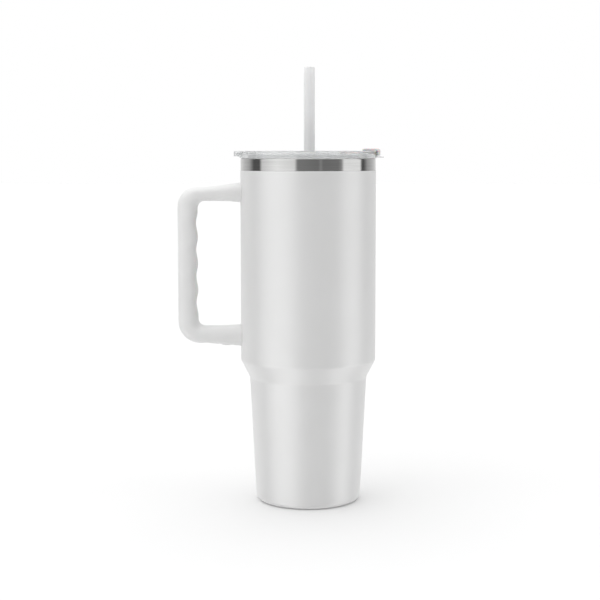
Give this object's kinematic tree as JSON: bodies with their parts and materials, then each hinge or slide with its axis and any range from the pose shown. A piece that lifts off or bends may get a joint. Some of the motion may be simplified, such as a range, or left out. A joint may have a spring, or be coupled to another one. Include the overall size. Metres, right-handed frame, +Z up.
{
  "type": "insulated tumbler with lid",
  "caption": "Double-walled steel tumbler with a stepped body, a side handle with finger grooves, a clear press-in lid with a flip-up sip flap, and a straight straw.",
  "frame": {"origin": "centre of the base, on the cup's axis, at the face it stands on", "axes": "+Z up along the cup's axis; the handle is at -X, and the sip flap's thumb tab at +X; Y runs across the handle"},
  "size_m": [0.1504, 0.0998, 0.3176],
  "materials": {
    "powder_coat": "satin white powder coat with a fine grain",
    "brushed_steel": "bare stainless steel, turned and lightly polished",
    "fixing_steel": "plain stainless steel",
    "getter_metal": "dull grey sintered metal",
    "sealing_glass": "fused glass solder",
    "handle_plastic": "satin white moulded plastic",
    "grip_rubber": "matt white soft-touch elastomer",
    "clear_plastic": "clear polished copolyester",
    "flap_plastic": "white satin moulded plastic",
    "silicone": "milky white silicone",
    "straw_plastic": "milky white extruded plastic",
    "pad_rubber": "matt grey silicone"
  },
  "bodies": {
    "cup": {"outer_shell": "powder_coat", "inner_liner": "brushed_steel", "base_cup": "powder_coat", "vacuum_bead": "sealing_glass", "getter": "getter_metal", "getter_clip": "getter_metal", "base_pad": "pad_rubber", "handle_core": "handle_plastic", "grip_insert": "grip_rubber", "upper_bracket": "fixing_steel", "lower_bracket": "fixing_steel", "upper_weld_nut": "fixing_steel", "lower_weld_nut": "fixing_steel", "upper_screw": "fixing_steel", "lower_screw": "fixing_steel", "upper_screw_plug": "handle_plastic", "lower_screw_plug": "handle_plastic"},
    "lid": {"lid_body": "clear_plastic", "lid_gasket": "silicone", "straw_grommet": "silicone", "hinge_pin": "fixing_steel"},
    "flap": {"sip_flap": "flap_plastic", "flap_seal": "silicone"},
    "drinking_straw": {"straw": "straw_plastic"}
  },
  "joints": [
    {"name": "lid_lift", "type": "slide", "parent": "cup", "child": "lid", "axis": [0, 0, 1], "range_m": [0, 0.25]},
    {"name": "flap_hinge", "type": "hinge", "parent": "lid", "child": "flap", "pos_m": [0.02529, 0, 0.2543], "axis": [0, -1, 0], "range_deg": [0, 115]},
    {"name": "straw_pull", "type": "slide", "parent": "lid", "child": "drinking_straw", "axis": [0, 0, 1], "range_m": [0, 0.25]}
  ]
}
